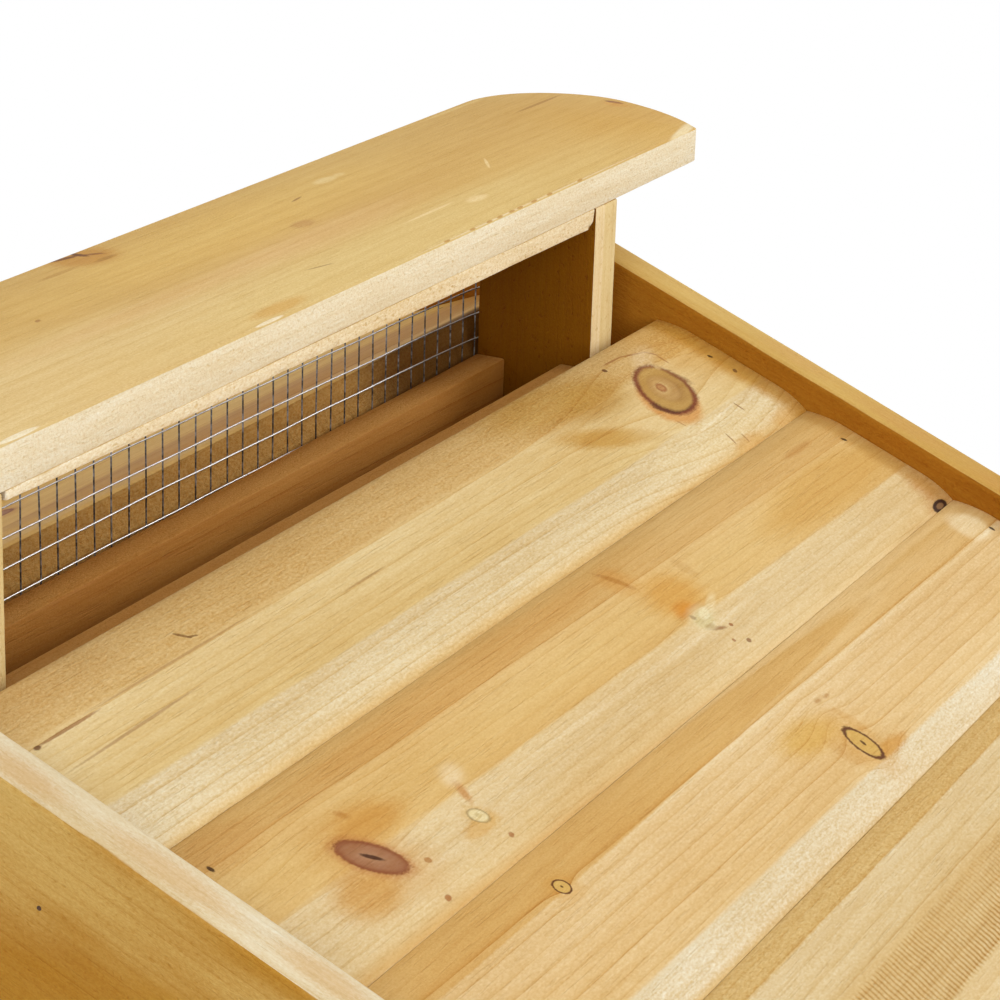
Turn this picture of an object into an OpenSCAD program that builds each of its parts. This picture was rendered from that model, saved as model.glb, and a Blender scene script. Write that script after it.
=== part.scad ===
// A garden bird table on a post, with a nut feeder built into the ridge of its roof.
// X runs along the ridge, Y across it, Z up. The filling side of the feeder faces -Y.
// The origin is on the ground, in the middle of the feet.

/* [Wire mesh] */
// Distance between neighbouring wires of the welded mesh
mesh_pitch = 6.35; // [5:0.05:8]
// Thickness of one wire
wire_d = 0.45; // [0.4:0.05:0.8]
// How far the mesh stays in from the outer faces of the end panels, at least
mesh_inset = 2; // [1.5:0.5:3]
// Squares of mesh from the lid down
mesh_rows = 7; // [6:1:7]
// Gap between the lid and the top wire
mesh_top_gap = 5; // [2:0.1:6]

/* [Feeder] */
// Clear length between the two end panels
feeder_len = 240; // [226:1:250]
// Width of an end panel, across the ridge
panel_w = 31; // [28:1:40]
// Thickness of an end panel
panel_t = 12; // [9:0.5:15]
// Depth of the nut box below the lid
feeder_depth = 80; // [70:1:86]
// Thickness of the boards that close the nut box
feeder_board_t = 8; // [6:0.5:9]
// How far the front board of the nut box stays below the lid
front_board_drop = 40; // [38:1:50]
// How far the back board rises over the lowest wire
back_board_lap = 8.2; // [4:0.1:9]

/* [Lid] */
// Full length of the lid
lid_len = 394; // [360:1:410]
// Width of the lid, flush with the end panels in front and standing out behind
lid_w = 62.5; // [56:0.5:80]
// Thickness of the lid
lid_t = 8.3; // [6:0.1:14]
// Radius of the large rounded corners at the back of the lid
lid_corner_r = 26; // [20:1:27]
// Radius of the flatter curve at each end of the lid
lid_end_r = 66; // [60:1:110]
// Radius of the small corners at the front of the lid
lid_tip_r = 3; // [1:0.5:6]
// How far the front corners stay back from the ends of the lid
lid_tip_back = 17.5; // [10:0.5:24]
// Height of a strip under the lid at its left end
strip_h_left = 2; // [1.5:0.5:4]
// Height of a strip under the lid at its right end
strip_h_right = 4.6; // [2:0.2:8]
// Width of the strips under the lid
strip_w = 8; // [6:0.5:10]
// Clearance between a strip and an end panel
strip_gap = 0.9; // [0.5:0.1:2]

/* [Roof] */
// Slope of the roof in degrees
roof_pitch = 21.9; // [18:0.1:26]
// Boards on each slope
board_count = 4; // [4:1:4]
// Width of the top board that stays in sight
top_board_face = 44.4; // [39:0.1:47]
// Width of each lower board that stays in sight
board_face = 42; // [38:0.5:46]
// Thickness of a roof board
board_t = 12; // [9:0.5:14]
// Depth of the groove between two boards
groove_depth = 1.7; // [1:0.1:2.5]
// Width of the eased upper edge of a board
rise_w = 10.5; // [6:0.5:14]
// Width of the curved lower edge of a board
drop_w = 9.5; // [6:0.5:14]
// Overlap of two boards under the groove
lap_w = 6; // [4:0.5:9]
// Gap between an end panel and the top edge of each slope
ridge_gap = 4.8; // [2:0.1:8]
// How far the top arris of each slope lies below the lid
arris_drop = 34.2; // [30:0.1:40]
// Thickness of a gable rail
rail_t = 10.7; // [8:0.1:15]
// Height of a gable rail, square to the slope
rail_h = 45; // [40:1:60]
// How far a gable rail stands above the boards
rail_stand = 5.8; // [4:0.1:12]
// How far a gable rail runs on past the lowest board
rail_tail = 4; // [0:0.5:10]
// Width of the rafters between the end panels and the rails
rafter_w = 15.3; // [12:0.1:20]
// Height of the rafters
rafter_h = 18; // [14:1:24]

/* [Tray] */
// Height of the tray floor above the ground
tray_z = 900; // [700:5:1300]
// Clear height from the tray floor to the top arris of the slopes
roof_over_tray = 207; // [190:1:240]
// Thickness of the tray floor
floor_t = 10; // [8:0.5:14]
// Boards in the tray floor
floor_boards = 4; // [4:1:4]
// Drain gap between two floor boards
drain_gap = 2; // [1:0.5:5]
// Size of the square corner posts
corner_post = 20; // [16:1:20]
// Distance between the outer faces of the corner posts, across the ridge
posts_span = 220; // [200:2:240]
// Thickness of the tray rims
rim_t = 10; // [8:0.5:14]
// Height of the tray rims
rim_h = 35; // [28:1:45]
// Width of the two bearers under the tray
bearer_w = 25; // [20:1:30]
// Height of the two bearers under the tray
bearer_h = 30; // [25:1:40]

/* [Stand] */
// Size of the square post
post = 45; // [38:1:55]
// Length of each foot
foot_len = 480; // [420:5:600]
// Width of a foot
foot_w = 45; // [38:1:50]
// Height of a foot
foot_h = 40; // [34:1:50]
// Size of the slope cut on the ends of the feet
foot_bevel = 15; // [8:1:24]
// Reach of a brace up the post and along the foot
brace_reach = 150; // [110:5:180]
// Width of a brace
brace_w = 30; // [22:1:38]
// Thickness of a brace, square to its length
brace_t = 28; // [20:1:32]

/* [Finish] */
// Width of the eased arrises of the sawn timber
ease = 0.8; // [0.4:0.1:1.5]

/* [Hidden] */

// Heights above the ground
arris_z = tray_z + roof_over_tray;
lid_z = arris_z + arris_drop;

// Distances along the ridge, from the middle
panel_in = feeder_len / 2;
panel_out = panel_in + panel_t;
rafter_out = panel_out + rafter_w;
rail_out = rafter_out + rail_t;

// Distances across the ridge, from the middle
panel_face = panel_w / 2;
arris_y = panel_face + ridge_gap;
slope_len = joint_at(board_count);

// The eased faces rise from the groove to the flat of a board
flat_h = 2.5;
under_h = flat_h - board_t;
lap_share = 0.45;
lap_h = under_h + board_t * lap_share;
curve_steps = 6;

// Whole squares of mesh that fit between the end panels and over part of their backs
mesh_columns = 2 * floor((panel_out - mesh_inset) / mesh_pitch);

// Timber with eased long arrises, lying along X, centred in X and Y, standing on Z = 0
module timber(length, width, height) {
    rotate([90, 0, 90])
        linear_extrude(length, center = true)
            polygon([
                [-width / 2 + ease, 0], [width / 2 - ease, 0],
                [width / 2, ease], [width / 2, height - ease],
                [width / 2 - ease, height], [-width / 2 + ease, height],
                [-width / 2, height - ease], [-width / 2, ease]
            ]);
}

// Moves what is drawn at (slope distance, height) to the near (-1) or the far (+1) slope
module on_slope(side) {
    mirror([0, side < 0 ? 1 : 0, 0])
        translate([0, arris_y, arris_z])
            rotate([-roof_pitch, 0, 0])
                children();
}

// Height of the underside of the boards at a distance from the ridge
function under_z(y) = arris_z + under_h / cos(roof_pitch) - (y - arris_y) * tan(roof_pitch);

// Distance from the top arris to the lower edge of a board
function joint_at(n) = n < 1 ? 0 : top_board_face + (n - 1) * board_face;

// The eased face near the upper edge of a board
function rise_curve(start) = [
    for (i = [0 : curve_steps])
        let (t = i / curve_steps)
            [start + rise_w * t, flat_h - groove_depth * pow(1 - t, 2)]
];

// The curved face near the lower edge of a board
function drop_curve(finish) = [
    for (i = [0 : curve_steps])
        let (t = i / curve_steps)
            [finish - drop_w * (1 - t), flat_h - groove_depth * pow(t, 2)]
];

// Section of one board: the top one has no lap under its upper edge and the lowest one has a square end
function board_outline(n) = concat(
    rise_curve(joint_at(n - 1)),
    drop_curve(joint_at(n)),
    n == board_count
        ? [[joint_at(n), under_h]]
        : [[joint_at(n), lap_h], [joint_at(n) - lap_w, lap_h], [joint_at(n) - lap_w, under_h]],
    n == 1
        ? [[0, under_h]]
        : [[joint_at(n - 1) - lap_w, under_h], [joint_at(n - 1) - lap_w, lap_h],
           [joint_at(n - 1), lap_h]]
);

module roof_board(side, n) {
    color("burlywood")
        on_slope(side)
            rotate([90, 0, 90])
                linear_extrude(2 * rafter_out, center = true)
                    polygon(board_outline(n));
}

// Everything on one side of the upright plane through the ridge, up to a height
module half_space(side, top) {
    reach = 400;
    translate([-reach, side < 0 ? -reach : 0, 0])
        cube([2 * reach, reach, top]);
}

// A gable rail: eased along its length, mitred at the ridge and square at the eave
module rail(side, end) {
    run_up = 60;
    color("tan")
        intersection() {
            translate([end * (rail_out + rafter_out) / 2, 0, 0])
                on_slope(side)
                    translate([0, (slope_len + rail_tail - run_up) / 2, flat_h + rail_stand - rail_h])
                        rotate([0, 0, 90])
                            timber(slope_len + rail_tail + run_up, rail_t, rail_h);
            half_space(side, lid_z);
        }
}

// A rafter under the boards, inside the rail, cut plumb at the ridge and level where it comes out
module rafter(side, end) {
    run_up = 40;
    color("peru")
        intersection() {
            translate([end * (panel_out + rafter_out) / 2, 0, 0])
                on_slope(side)
                    translate([0, (slope_len - run_up) / 2, under_h - rafter_h])
                        rotate([0, 0, 90])
                            linear_extrude(rafter_h)
                                square([slope_len + run_up, rafter_w], center = true);
            half_space(side, under_z(arris_y));
        }
}

// Points on an arc, from one direction to another
function arc(middle, radius, from, to, steps) = [
    for (i = [0 : steps])
        let (a = from + (to - from) * i / steps)
            middle + radius * [cos(a), sin(a)]
];

function direction(v) = atan2(v[1], v[0]);

// Plan of the lid: straight in front, small front corners, curved ends, large round corners behind
module lid_plan() {
    y_front = -panel_face;
    tip_steps = 5;
    end_steps = 9;
    corner_steps = 18;
    big = [lid_len / 2 - lid_corner_r, y_front + lid_w - lid_corner_r];
    tip = [lid_len / 2 - lid_tip_back - lid_tip_r, y_front + lid_tip_r];
    // the end curve touches both corner circles from outside, so its middle lies on two known radii
    span = norm(big - tip);
    to_tip = lid_end_r - lid_tip_r;
    to_big = lid_end_r - lid_corner_r;
    along = (to_tip * to_tip - to_big * to_big + span * span) / (2 * span);
    aside = sqrt(to_tip * to_tip - along * along);
    line = (big - tip) / span;
    middle = tip + line * along + [-line[1], line[0]] * aside;
    low = direction(tip - middle);
    high = direction(big - middle);
    right = concat(
        arc(tip, lid_tip_r, -90, low, tip_steps),
        arc(middle, lid_end_r, low, high, end_steps),
        arc(big, lid_corner_r, high, 90, corner_steps)
    );
    left = [for (i = [len(right) - 1 : -1 : 0]) [-right[i][0], right[i][1]]];
    polygon(concat(right, left));
}

module lid() {
    color("goldenrod")
        translate([0, 0, lid_z])
            linear_extrude(lid_t)
                lid_plan();
}

// A strip under the lid that drops between the end panels; it is planed to a slight taper
module lid_strip(y_low) {
    half = panel_in - strip_gap;
    color("wheat")
        translate([0, y_low + strip_w, lid_z])
            rotate([90, 0, 0])
                linear_extrude(strip_w)
                    polygon([[-half, -strip_h_left], [half, -strip_h_right], [half, 0], [-half, 0]]);
}

module lid_strip_front() lid_strip(-panel_face);
module lid_strip_back() lid_strip(panel_face - strip_w - strip_gap);

module feeder_end(end) {
    color("sienna")
        translate([end * (panel_in + panel_out) / 2, 0, lid_z - feeder_depth - feeder_board_t])
            linear_extrude(feeder_depth + feeder_board_t)
                square([panel_t, panel_w], center = true);
}

module feeder_floor() {
    color("sienna")
        translate([-panel_in, -panel_face, lid_z - feeder_depth - feeder_board_t])
            cube([feeder_len, panel_w, feeder_board_t]);
}

module feeder_front_board() {
    color("sienna")
        translate([-panel_in, -panel_face, lid_z - feeder_depth])
            cube([feeder_len, feeder_board_t, feeder_depth - front_board_drop]);
}

module feeder_back_board() {
    height = feeder_depth - mesh_top_gap - mesh_rows * mesh_pitch + back_board_lap;
    color("sienna")
        translate([-panel_in, panel_face - feeder_board_t, lid_z - feeder_depth])
            cube([feeder_len, feeder_board_t, height]);
}

// Welded mesh: level wires against the back of the end panels, upright wires welded behind them
module feeder_mesh() {
    wire_sides = 6;
    weld = 0.07;
    flat = wire_d / 2 * cos(180 / wire_sides);
    tail = 1;
    width = mesh_columns * mesh_pitch;
    height = mesh_rows * mesh_pitch;
    bottom = lid_z - mesh_top_gap - height;
    color("silver") {
        for (i = [0 : mesh_rows])
            translate([-width / 2 - tail, panel_face + flat, bottom + i * mesh_pitch])
                rotate([0, 90, 0])
                    cylinder(h = width + 2 * tail, d = wire_d, $fn = wire_sides);
        for (i = [0 : mesh_columns])
            translate([-width / 2 + i * mesh_pitch, panel_face + 3 * flat - weld, bottom - tail])
                cylinder(h = height + 2 * tail, d = wire_d, $fn = wire_sides);
    }
}

// A corner post of the tray, cut under the roof boards
module corner_post_at(side, end) {
    x_mid = end * (panel_out - corner_post / 2);
    y_out = posts_span / 2;
    y_in = y_out - corner_post;
    color("tan")
        translate([x_mid + corner_post / 2, 0, 0])
            rotate([90, 0, -90])
                linear_extrude(corner_post)
                    polygon([
                        [-side * y_in, tray_z], [-side * y_out, tray_z],
                        [-side * y_out, under_z(y_out)], [-side * y_in, under_z(y_in)]
                    ]);
}

module tray_board(n) {
    width = (posts_span - (floor_boards - 1) * drain_gap) / floor_boards;
    color("burlywood")
        translate([0, -posts_span / 2 + width / 2 + (n - 1) * (width + drain_gap), tray_z - floor_t])
            timber(2 * panel_out, width, floor_t);
}

module tray_rim_long(side) {
    color("tan")
        translate([0, side * (posts_span + rim_t) / 2, tray_z - floor_t])
            timber(2 * (panel_out + rim_t), rim_t, rim_h);
}

module tray_rim_short(end) {
    color("tan")
        translate([end * (panel_out + rim_t / 2), 0, tray_z - floor_t])
            rotate([0, 0, 90])
                timber(posts_span, rim_t, rim_h);
}

module tray_bearer(end) {
    color("peru")
        translate([end * (post + bearer_w) / 2, 0, tray_z - floor_t - bearer_h])
            rotate([0, 0, 90])
                timber(posts_span, bearer_w, bearer_h);
}

module post() {
    color("tan")
        translate([0, 0, foot_h])
            linear_extrude(tray_z - floor_t - foot_h)
                polygon([
                    for (q = [0 : 3])
                        for (s = [-1, 1])
                            let (a = q * 90, u = post / 2, v = s * (post / 2 - ease))
                                [u * cos(a) - v * sin(a), u * sin(a) + v * cos(a)]
                ]);
}

// A foot, bevelled at both ends, with half of its height cut away where the two cross
module foot(cut_top) {
    half = foot_len / 2;
    difference() {
        translate([0, foot_w / 2, 0])
            rotate([90, 0, 0])
                linear_extrude(foot_w)
                    polygon([
                        [-half, 0], [half, 0], [half, foot_h - foot_bevel], [half - foot_bevel, foot_h],
                        [-half + foot_bevel, foot_h], [-half, foot_h - foot_bevel]
                    ]);
        translate([-foot_w / 2, -foot_w, cut_top ? foot_h / 2 : -foot_h / 2])
            cube([foot_w, 2 * foot_w, foot_h]);
    }
}

module foot_along() color("peru") foot(true);
module foot_across() color("peru") rotate([0, 0, 90]) foot(false);

// A brace between the post and a foot, with both ends cut to bear flat
module brace(turn) {
    near = post / 2;
    far = near + brace_reach;
    low = brace_t * sqrt(2);
    color("peru")
        rotate([0, 0, turn])
            translate([0, brace_w / 2, foot_h])
                rotate([90, 0, 0])
                    linear_extrude(brace_w)
                        polygon([[near, brace_reach], [near, brace_reach - low], [far - low, 0], [far, 0]]);
}

lid();
lid_strip_front();
lid_strip_back();
feeder_end(-1);  // feeder_end_left
feeder_end(1);  // feeder_end_right
feeder_floor();
feeder_front_board();
feeder_back_board();
feeder_mesh();
roof_board(-1, 1);  // near_board_1
roof_board(-1, 2);  // near_board_2
roof_board(-1, 3);  // near_board_3
roof_board(-1, 4);  // near_board_4
roof_board(1, 1);  // far_board_1
roof_board(1, 2);  // far_board_2
roof_board(1, 3);  // far_board_3
roof_board(1, 4);  // far_board_4
rail(-1, -1);  // rail_near_left
rail(-1, 1);  // rail_near_right
rail(1, -1);  // rail_far_left
rail(1, 1);  // rail_far_right
rafter(-1, -1);  // rafter_near_left
rafter(-1, 1);  // rafter_near_right
rafter(1, -1);  // rafter_far_left
rafter(1, 1);  // rafter_far_right
corner_post_at(-1, -1);  // corner_post_near_left
corner_post_at(-1, 1);  // corner_post_near_right
corner_post_at(1, -1);  // corner_post_far_left
corner_post_at(1, 1);  // corner_post_far_right
tray_board(1);  // tray_board_1
tray_board(2);  // tray_board_2
tray_board(3);  // tray_board_3
tray_board(4);  // tray_board_4
tray_rim_long(-1);  // tray_rim_near
tray_rim_long(1);  // tray_rim_far
tray_rim_short(-1);  // tray_rim_left
tray_rim_short(1);  // tray_rim_right
tray_bearer(-1);  // tray_bearer_left
tray_bearer(1);  // tray_bearer_right
post();
foot_along();
foot_across();
brace(180);  // brace_left
brace(0);  // brace_right
brace(-90);  // brace_near
brace(90);  // brace_far
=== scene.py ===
# %% The frame
import math
import random
import bpy
from mathutils import Matrix, Vector, noise


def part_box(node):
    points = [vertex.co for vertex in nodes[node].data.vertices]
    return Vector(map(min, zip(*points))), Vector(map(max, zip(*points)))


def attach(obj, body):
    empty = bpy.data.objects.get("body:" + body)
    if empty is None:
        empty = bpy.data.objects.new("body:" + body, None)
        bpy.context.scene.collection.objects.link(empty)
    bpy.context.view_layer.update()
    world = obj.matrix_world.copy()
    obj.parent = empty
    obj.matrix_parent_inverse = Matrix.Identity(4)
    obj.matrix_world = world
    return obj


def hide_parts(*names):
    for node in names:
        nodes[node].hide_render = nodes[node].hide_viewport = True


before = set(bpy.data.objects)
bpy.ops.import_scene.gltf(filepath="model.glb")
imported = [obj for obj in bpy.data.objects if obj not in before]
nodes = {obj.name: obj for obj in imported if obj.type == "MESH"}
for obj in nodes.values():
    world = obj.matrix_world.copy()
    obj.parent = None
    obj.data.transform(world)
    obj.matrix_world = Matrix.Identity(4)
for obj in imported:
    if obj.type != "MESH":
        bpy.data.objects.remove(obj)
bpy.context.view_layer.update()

# %% [markdown]
# # A bird table with a nut feeder in its roof
# The real object is nailed together from cheap softwood. Two slopes of lapped boards leave a slot
# along the ridge, a narrow nut box sits in the slot, and a loose lid covers it. Behind the lid the box
# is closed by welded wire mesh. The frame already holds every timber as a plain solid in metres, with
# X along the ridge, Y across it and Z up, so this lesson adds what a solid can't have: soft arrises,
# round wires, nail heads and, above all, the look of the wood.

# %% Sizes shared with the solids
mm = 0.001
pitch = math.radians(21.9)
slope_top = Vector((0, 0.0203, 1.107))
lid_under = 1.1412
lid_thick = 8.3
joints = [0, 44.4, 86.4, 128.4, 170.4]
panel_in = 120.0
rail_out = 158.0
panel_face = 15.5
near_down = Vector((0, -math.cos(pitch), -math.sin(pitch)))
far_down = Vector((0, math.cos(pitch), -math.sin(pitch)))
print("slope falls", round(math.tan(pitch) * 1000), "mm in a metre")

# %% [markdown]
# ## Camera
# The picture was taken from above the left end of the near slope with a long lens: the level edges
# of the lid hardly draw together. A camera is fixed by its place and by the three directions right,
# up and forward. Written as the columns of a matrix, they turn it without any trial and error.

# %% Camera
def aim(right, up, forward, place):
    turned = Matrix((right, up, [-c for c in forward])).transposed().to_4x4()
    turned.translation = place
    return turned

bpy.ops.object.camera_add()
camera = bpy.context.object
camera.name = "camera"
camera.matrix_world = aim((0.45954, -0.88761, 0.03112), (0.28417, 0.18014, 0.94170),
                          (0.84146, 0.42392, -0.33501), (-0.5565, -0.3331, lid_under + 0.191))
camera.data.lens = 116.0
camera.data.clip_start, camera.data.clip_end = 0.01, 60
bpy.context.scene.camera = camera
print("camera looks down by", round(math.degrees(math.asin(0.33501)), 1), "degrees")

# %% [markdown]
# ## Light
# The shadows in the nut box say where the lamps hung. The right end panel throws its shadow to the
# left and the wires throw theirs down and to the right, so the key lamp stands low on the right, in
# front. It is only a small part of the light: broad lamps above, in front, on the left and behind make
# the soft daylight of a studio tent. A lamp's level falls with the square of its distance, so the cell
# below takes the level wanted at the roof and works out the watts.

# %% Lamps
roof_middle = Vector((0, 0, 1.1))

def lamp(name, toward, away, size, level, tint=(1, 1, 1)):
    place = roof_middle + Vector(toward).normalized() * away
    bpy.ops.object.light_add(type="AREA", location=place)
    light = bpy.context.object
    light.name = name
    light.rotation_euler = (roof_middle - place).to_track_quat("-Z", "Y").to_euler()
    light.data.size = size
    light.data.energy = level * (math.pi * away) ** 2
    light.data.color = tint
    return light

lamp("key_lamp", (0.736, -0.575, 0.36), 2.3, 0.8, 0.42)
lamp("top_lamp", (0.05, -0.15, 1), 2.2, 2.0, 0.24)
lamp("front_lamp", (-0.25, -0.91, 0.33), 2.4, 1.6, 0.37)
lamp("left_lamp", (-0.91, -0.32, 0.26), 2.5, 1.4, 0.44, (1, 0.98, 0.95))
lamp("back_lamp", (-0.13, 0.75, 0.60), 2.2, 1.4, 0.36)

# %% [markdown]
# ## Writing a material as arithmetic
# A material is a net of small nodes, and sums made of nodes are hard to read. The class below wraps
# one output of a node and answers to the usual signs, so that an ordinary expression draws its own
# Math nodes. Everything that isn't a sum comes from one method that takes the kind of node, its
# settings and what goes into its sockets.

# %% A value in a material
class Value:
    def __init__(self, net, node, out):
        self.net, self.node, self.socket = net, node, node.outputs[out]

    def sum(self, operation, *others):
        return self.net.add("Math", dict(operation=operation), self, *others)

    def __add__(self, other):
        return self.sum("ADD", other)

    def __sub__(self, other):
        return self.sum("SUBTRACT", other)

    def __rsub__(self, other):
        return self.net.add("Math", dict(operation="SUBTRACT"), other, self)

    def __mul__(self, other):
        return self.sum("MULTIPLY", other)

    def __truediv__(self, other):
        return self.sum("DIVIDE", other)

    def __pow__(self, other):
        return self.sum("POWER", other)

    __radd__, __rmul__ = __add__, __mul__

    def step(self, low, high):
        return self.net.add("MapRange", dict(interpolation_type="SMOOTHSTEP"), self, low, high)

    def out(self, name):
        return Value(self.net, self.node, name)

# %% A net of nodes, empty at first
class Net:
    def __init__(self, owner, output):
        owner.use_nodes = True
        self.tree = owner.node_tree
        self.tree.nodes.clear()
        self.end = self.tree.nodes.new("ShaderNode" + output).inputs[0]

    def plug(self, socket, value):
        if isinstance(value, Value):
            self.tree.links.new(value.socket, socket)
        elif socket.type == "RGBA" and len(value) == 3:
            socket.default_value = (*value, 1)
        else:
            socket.default_value = value

    def add(self, kind, settings, *values, out=0, **sockets):
        node = self.tree.nodes.new("ShaderNode" + kind)
        for key, value in settings.items():
            if key == "stops":
                for place, _ in value[2:]:
                    node.color_ramp.elements.new(place)
                for stop, (place, colour) in zip(node.color_ramp.elements, value):
                    stop.position, stop.color = place, (*colour, 1)[:4]
            else:
                setattr(node, key, value)
        for key, value in [*enumerate(values), *sockets.items()]:
            self.plug(node.inputs[key], value)
        return Value(self, node, out)

    def mix(self, amount, first, second, way="MIX"):
        mixed = self.add("Mix", dict(data_type="RGBA", blend_type=way), amount, out=2)
        self.plug(mixed.node.inputs[6], first)
        self.plug(mixed.node.inputs[7], second)
        return mixed

    def vector(self, operation, *values):
        return self.add("VectorMath", dict(operation=operation), *values, out="Value")

    def join(self, x, y, z):
        return self.add("CombineXYZ", {}, x, y, z)

    def cloud(self, vector, detail=2, rough=0.5):
        return self.add("TexNoise", {}, Vector=vector, Scale=1, Detail=detail, Roughness=rough)

# %% A finish, the material that is being written
class Finish(Net):
    def __init__(self, name):
        self.material = bpy.data.materials.new(name)
        super().__init__(self.material, "OutputMaterial")
        self.surface = self.tree.nodes.new("ShaderNodeBsdfPrincipled")
        self.look = Value(self, self.surface, 0)
        self.plug(self.end, self.look)

    def set(self, **sockets):
        for key, value in sockets.items():
            self.plug(self.surface.inputs[key.replace("_", " ")], value)
        return self.material

def tone(red, green, blue):
    """A colour as a screen shows it, 0 to 255, turned into the linear light that Blender mixes."""
    return tuple(c / 12.92 if c < 0.04045 else ((c + 0.055) / 1.055) ** 2.4
                 for c in (red / 255, green / 255, blue / 255))

print("a mid honey tone in linear light:", [round(c, 3) for c in tone(214, 184, 129)])

# %% [markdown]
# ## Pine, once and for all timbers
# Softwood is a stack of thin cones round a pith that usually lies outside the board. Each year's
# cone starts pale and ends in a thin dark skin, and a board shows where its faces cut the cones:
# long lines, arches where the cut is shallow, and arcs on the end grain. Each finish first lays a
# grain frame in the piece, with millimetres along the grain, across the face and into the wood. A
# plain timber measures the distance to the pith and cuts it into years. A board that is seen close
# up is given its own years, as a list of places across the face and how dark each line is. Either
# way the lines part round the knots.

# %% Where the grain runs
def lay(origin, along, across):
    """Turns object coordinates into millimetres along the grain, across the face and through it."""
    along, across = Vector(along).normalized(), Vector(across).normalized()
    turn = Matrix((along, across, along.cross(across)))
    return dict(rotation=turn.to_euler(), location=-(turn @ Vector(origin)) * 1000,
                through=along.cross(across))

def grain_frame(finish, laid):
    place = finish.add("TexCoord", {}, out="Object")
    mapped = finish.add("Mapping", {}, place, Location=laid["location"], Rotation=laid["rotation"],
                        Scale=(1000, 1000, 1000))
    split = finish.add("SeparateXYZ", {}, mapped)
    return split, split.out(1), split.out(2)

# %% [markdown]
# ## Knots, stains and nail spots
# A knot, a resin streak, a nail spot and a scratch are all ovals of colour. They differ in size, in
# turn and in how soft the edge is, so one short recipe paints them all. Their colours, and those of
# the bands on a board, are written as a screen shows them. A knot is a pile of ovals: a resin halo, a
# dark bark ring, the lighter wood inside it and its own little pith. The grain must also flow round
# it, which is a push of the across coordinate that dies away with distance.

# %% Ovals and knots
def oval(along, across, half_along, half_across, colour, strength=0.6, edge=0.6, turn=0):
    """One row of a list of ovals, with a name for each number."""
    return dict(at=(along, across), size=(half_along, half_across), colour=tone(*colour),
                strength=strength, edge=edge, turn=turn)

def inside_oval(finish, spot, flat, ragged):
    """1 inside an oval and 0 outside it, with an edge as soft and ragged as asked."""
    near = finish.add("Mapping", dict(vector_type="TEXTURE"), flat, Location=(*spot["at"], 0),
                      Rotation=(0, 0, math.radians(spot["turn"])), Scale=(*spot["size"], 1))
    far = finish.vector("LENGTH", near)
    edge = spot["edge"]
    unrest = min(0.25 + edge * 0.6, 1.8 / min(spot["size"]), 9 / max(spot["size"]))
    return (far + ragged * unrest).step(1 + edge * 0.6, 1 - edge * 0.6)

def part_round(k, l, w):
    """The years bow out round a knot, further along the grain than across it."""
    a = (l - k["at"][0]) / (k["size"][0] * k["reach"] * 1.3)
    dw = w - k["at"][1]
    b = dw / (k["size"][1] * k["reach"])
    bell = (a * a * -1 - b * b).sum("EXPONENT")
    return w - dw * bell * k["push"]

resin, rust = (202, 150, 68), (150, 84, 24)
knot_piles = {
    "brown": [(1.8, 2, (200, 148, 76), 0.5, 1), (1.1, 1.16, (178, 112, 56), 0.7, 0.5),
              (1, 1, (136, 78, 44), 1, 0.14), (0.86, 0.78, (158, 108, 72), 0.95, 0.3),
              (0.5, 0.4, (170, 126, 88), 0.5, 0.7), (0.34, 0.14, (60, 28, 10), 0.9, 0.5)],
    "amber": [(1.9, 1.7, (206, 156, 76), 0.5, 1), (1.04, 1.06, (88, 44, 16), 0.95, 0.12),
              (0.84, 0.84, (208, 168, 92), 1, 0.14), (0.14, 0.17, (80, 44, 14), 0.9, 0.4)],
    "pale": [(1.6, 1.4, (208, 166, 96), 0.5, 0.8), (1.03, 1.03, (146, 120, 72), 0.7, 0.2),
             (0.84, 0.84, (222, 200, 146), 1, 0.3), (0.3, 0.34, (196, 166, 104), 0.5, 0.6)],
    "split": [(1.6, 2.6, (190, 142, 84), 0.6, 1), (1, 1, (58, 36, 24), 1, 0.2),
              (0.5, 0.45, (150, 112, 74), 0.7, 0.4)],
}

def knot(along, across, half_along, half_across, turn=0, kind="amber", push=0.75, reach=1.9, pile=None):
    if pile is None:
        pile = [(along, across, half_along * a, half_across * b, colour, strength, edge, turn)
                for a, b, colour, strength, edge in knot_piles[kind]]
    return dict(at=(along, across), size=(half_along, half_across), turn=turn, push=push, reach=reach,
                pile=pile, edge=0.3)

print("kinds of knot:", ", ".join(knot_piles))

# %% [markdown]
# ## The pine recipe
# The tone of wood deepens in a fixed way: a dark line isn't grey but a more saturated form of the wood
# beside it. So the recipe first paints the large colours, then adds up everything that makes the wood
# deeper or paler in one number, the depth, and multiplies red, green and blue by rising powers of it.
# Year lines, fibres, pores and saw marks all go into that one number. The same numbers, as a height,
# give the faint relief of brushed softwood.

# %% Years in the wood
def listed_years(finish, years, across):
    """The place between two listed lines as a number that grows by one, and how dark the line is."""
    low, high = years[0][0] - 3, years[-1][0] + 3
    count = len(years) + 1
    stops = [(0.0, (0, 0, 0))]
    stops += [((place - low) / (high - low), (n / count, dark, 0))
              for n, (place, dark) in enumerate(years, 1)]
    stops.append((1.0, (1, 0, 0)))
    ramp = finish.add("ValToRGB", dict(stops=stops), (across - low) / (high - low))
    split = finish.add("SeparateColor", {}, ramp)
    return split * count, split.out(1)

def cone_years(finish, across, deep, l, ring, shift, taper=0.004):
    year = ((across * across + deep * deep) ** 0.5 + l * taper) / ring
    year = year + (finish.cloud(finish.join(year * 0.4 + shift, 0, 0), detail=1) - 0.5) * 1.8
    dark = finish.cloud(finish.join(year * 0.9 + shift, l * 0.006, 7.0), detail=1).step(0.35, 0.72)
    return year, dark * 0.9 + 0.1

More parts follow.
